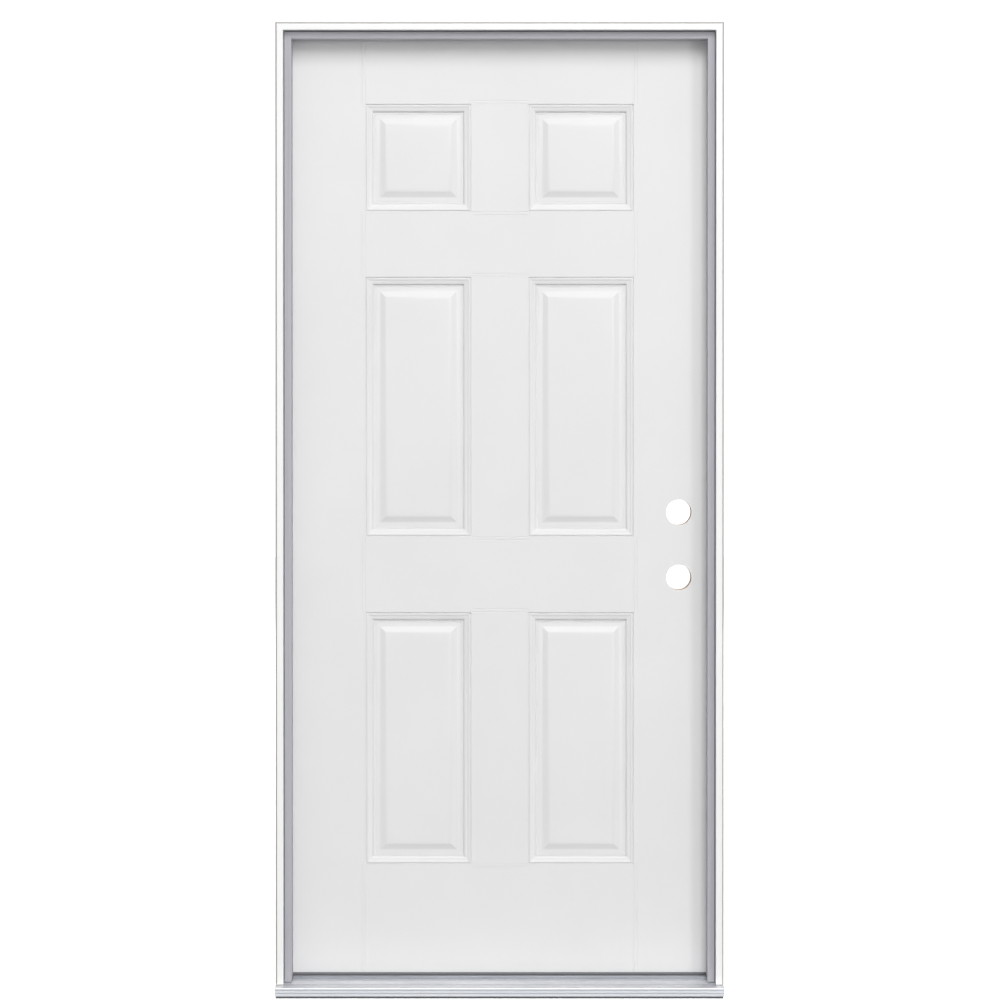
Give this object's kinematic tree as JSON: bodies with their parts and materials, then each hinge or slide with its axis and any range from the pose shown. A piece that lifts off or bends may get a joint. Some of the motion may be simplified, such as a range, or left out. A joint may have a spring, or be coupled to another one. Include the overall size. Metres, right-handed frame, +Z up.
{
  "type": "prehung panelled entry door",
  "caption": "White panelled entry door hung in its jambs with a metal sill, weather seals and hinges, bored for a lockset and a deadbolt.",
  "frame": {"origin": "middle of the sill's underside, at mid-depth of the jambs", "axes": "+X right as seen from outside, -Y out through the outside face, +Z up"},
  "size_m": [0.9524, 0.1621, 2.0701],
  "materials": {
    "moulded_skin": "white primed moulded fibreglass, satin",
    "stile_wood": "bare kiln-dried softwood",
    "block_wood": "laminated veneer block",
    "rigid_foam": "rigid polyurethane foam, hidden",
    "sweep_vinyl": "dark flexible vinyl",
    "pad_foam": "dark closed-cell foam",
    "jamb_wood": "finger-jointed pine, primed on the show faces",
    "white_vinyl": "bright white rigid vinyl",
    "grey_vinyl": "cool grey vinyl",
    "sill_aluminium": "mill-finish extrusion",
    "cap_aluminium": "mill-finish extrusion",
    "sill_composite": "moulded wood composite",
    "plug_vinyl": "grey-green moulded vinyl",
    "screw_steel": "zinc-plated steel",
    "hinge_steel": "satin nickel plated steel"
  },
  "bodies": {
    "frame": {"jamb_hinge_side": "jamb_wood", "jamb_strike_side": "jamb_wood", "jamb_head": "jamb_wood", "stop_hinge_side": "jamb_wood", "stop_strike_side": "jamb_wood", "stop_head": "jamb_wood", "cladding_hinge_side": "white_vinyl", "cladding_strike_side": "white_vinyl", "cladding_head": "white_vinyl", "seal_hinge_side": "grey_vinyl", "seal_strike_side": "grey_vinyl", "seal_head": "grey_vinyl", "hinge_leaf_frame_top": "hinge_steel", "hinge_leaf_frame_middle": "hinge_steel", "hinge_leaf_frame_bottom": "hinge_steel", "hinge_pin_top": "hinge_steel", "hinge_pin_middle": "hinge_steel", "hinge_pin_bottom": "hinge_steel", "hinge_screws_frame": "screw_steel", "sill_deck": "sill_aluminium", "sill_substrate": "sill_composite", "sill_cap": "cap_aluminium", "sill_cap_screws": "screw_steel", "sill_end_plugs": "plug_vinyl", "sill_nose_seal": "sweep_vinyl", "corner_pad_hinge_side": "pad_foam", "corner_pad_strike_side": "pad_foam", "strike_plate": "hinge_steel", "strike_screws": "screw_steel", "head_screws": "screw_steel", "sill_screws": "screw_steel"},
    "door": {"skin_exterior": "moulded_skin", "skin_interior": "moulded_skin", "hinge_stile": "stile_wood", "lock_stile": "stile_wood", "top_rail": "stile_wood", "bottom_rail": "stile_wood", "lock_block": "block_wood", "foam_core": "rigid_foam", "door_sweep": "sweep_vinyl", "hinge_leaf_door_top": "hinge_steel", "hinge_leaf_door_middle": "hinge_steel", "hinge_leaf_door_bottom": "hinge_steel", "hinge_screws_door": "screw_steel"}
  },
  "joints": [
    {"name": "door_swing", "type": "hinge", "parent": "frame", "child": "door", "pos_m": [-0.45561, 0.07065, 0], "axis": [0, 0, 1], "range_deg": [0, 170]}
  ]
}
